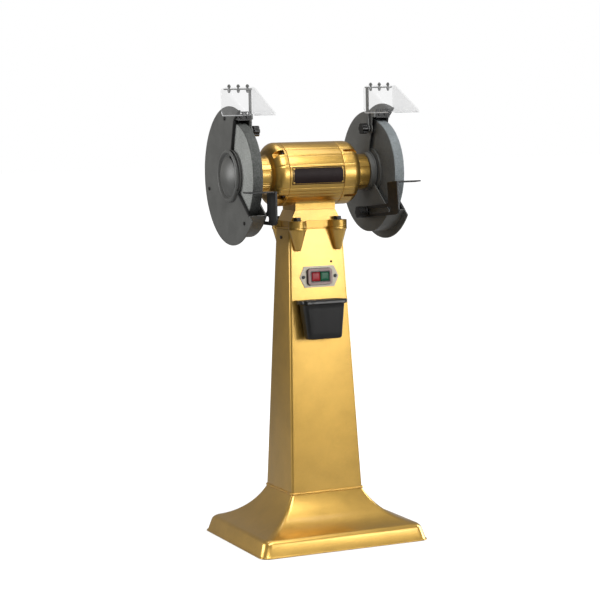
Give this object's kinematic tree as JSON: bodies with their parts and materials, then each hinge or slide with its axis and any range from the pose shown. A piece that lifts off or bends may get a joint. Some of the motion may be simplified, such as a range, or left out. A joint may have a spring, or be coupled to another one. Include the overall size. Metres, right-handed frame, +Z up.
{
  "type": "pedestal grinder",
  "caption": "Double-ended electric grinder on a flared column: guarded wheels on one spindle, tilting shields, adjustable rests, push-button switch and a lift-off cup.",
  "frame": {"origin": "on the floor, under the middle of the base", "axes": "+Z up, X along the spindle, -Y towards the operator"},
  "size_m": [0.446, 0.367, 1.084],
  "materials": {
    "gold_paint": "gloss",
    "dark_paint": "satin",
    "black_metal": "satin",
    "bright_steel": "brushed",
    "plate_metal": "satin",
    "bezel_plastic": "gloss",
    "black_plastic": "matte",
    "red_plastic": "gloss",
    "green_plastic": "gloss",
    "core_steel": "laminated",
    "copper": "lacquered",
    "grit": "rough",
    "card": "matte",
    "clear": "clear",
    "label": "matte",
    "lead": "matte"
  },
  "bodies": {
    "stand": {"base": "gold_paint", "column": "gold_paint", "weld_bead": "gold_paint", "column_head": "gold_paint", "rear_cover": "gold_paint", "cable_gland": "black_plastic", "panel_screws": "black_metal", "switch_plate": "plate_metal", "switch_bezel": "bezel_plastic", "switch_housing": "black_plastic", "cup_bracket": "bright_steel", "motor_base": "gold_paint", "base_bolts": "black_metal", "motor_screws": "bright_steel", "stator_shell": "gold_paint", "left_end_cap": "gold_paint", "right_end_cap": "gold_paint", "tie_bolts": "black_metal", "stator_core": "core_steel", "stator_windings": "copper", "motor_lead": "lead", "rating_plate": "label", "plate_rivets": "bright_steel", "bearing_outer_races": "bright_steel", "left_guard_body": "dark_paint", "right_guard_body": "dark_paint", "left_guard_cover": "dark_paint", "right_guard_cover": "dark_paint", "guard_bolts": "bright_steel", "cover_screws": "black_metal"},
    "spindle": {"shaft": "bright_steel", "rotor": "core_steel", "bearing_inner_races": "bright_steel", "bearing_balls": "bright_steel", "wheel_blotters": "card", "left_wheel": "grit", "left_inner_flange": "dark_paint", "left_outer_flange": "dark_paint", "left_spindle_nut": "bright_steel", "right_wheel": "grit", "right_inner_flange": "dark_paint", "right_outer_flange": "dark_paint", "right_spindle_nut": "bright_steel"},
    "start_button": {"start_button": "green_plastic"},
    "stop_button": {"stop_button": "red_plastic"},
    "cup": {"cup": "black_plastic"},
    "left_shield": {"left_hood": "clear", "left_hood_post": "dark_paint", "left_hood_screws": "dark_paint", "left_hood_knob": "black_plastic"},
    "left_deflector": {"left_spark_deflector": "dark_paint"},
    "left_clamp": {"left_rest_clamp": "black_metal"},
    "left_rest": {"left_tool_rest": "black_metal"},
    "right_shield": {"right_hood": "clear", "right_hood_post": "dark_paint", "right_hood_screws": "dark_paint", "right_hood_knob": "black_plastic"},
    "right_deflector": {"right_spark_deflector": "dark_paint"},
    "right_clamp": {"right_rest_clamp": "black_metal"},
    "right_rest": {"right_tool_rest": "black_metal"}
  },
  "joints": [
    {"name": "spindle_spin", "type": "hinge", "parent": "stand", "child": "spindle", "pos_m": [0, 0, 0.872], "axis": [1, 0, 0], "continuous": true},
    {"name": "start_press", "type": "slide", "parent": "stand", "child": "start_button", "axis": [0, 0.9982, -0.0596], "range_m": [0, 0.003], "stiffness_N_per_m": 800, "springref_m": -0.001},
    {"name": "stop_press", "type": "slide", "parent": "stand", "child": "stop_button", "axis": [0, 0.9982, -0.0596], "range_m": [0, 0.003], "stiffness_N_per_m": 800, "springref_m": -0.001},
    {"name": "cup_lift", "type": "slide", "parent": "stand", "child": "cup", "axis": [0, 0.0596, 0.9982], "range_m": [0, 0.028]},
    {"name": "left_shield_tilt", "type": "hinge", "parent": "stand", "child": "left_shield", "pos_m": [-0.153, -0.016, 0.975], "axis": [1, 0, 0], "range_deg": [-12, 38]},
    {"name": "left_deflector_slide", "type": "slide", "parent": "stand", "child": "left_deflector", "axis": [0, 0, 1], "range_m": [-0.007, 0.002]},
    {"name": "left_rest_tip", "type": "hinge", "parent": "stand", "child": "left_clamp", "pos_m": [-0.153, 0, 0.775], "axis": [1, 0, 0], "range_deg": [0, 12]},
    {"name": "left_rest_slide", "type": "slide", "parent": "left_clamp", "child": "left_rest", "axis": [0, -1, 0], "range_m": [-0.002, 0.022]},
    {"name": "right_shield_tilt", "type": "hinge", "parent": "stand", "child": "right_shield", "pos_m": [0.153, -0.016, 0.975], "axis": [1, 0, 0], "range_deg": [-12, 38]},
    {"name": "right_deflector_slide", "type": "slide", "parent": "stand", "child": "right_deflector", "axis": [0, 0, 1], "range_m": [-0.007, 0.002]},
    {"name": "right_rest_tip", "type": "hinge", "parent": "stand", "child": "right_clamp", "pos_m": [0.153, 0, 0.775], "axis": [1, 0, 0], "range_deg": [0, 12]},
    {"name": "right_rest_slide", "type": "slide", "parent": "right_clamp", "child": "right_rest", "axis": [0, -0.9962, 0.0872], "range_m": [-0.002, 0.014]}
  ]
}
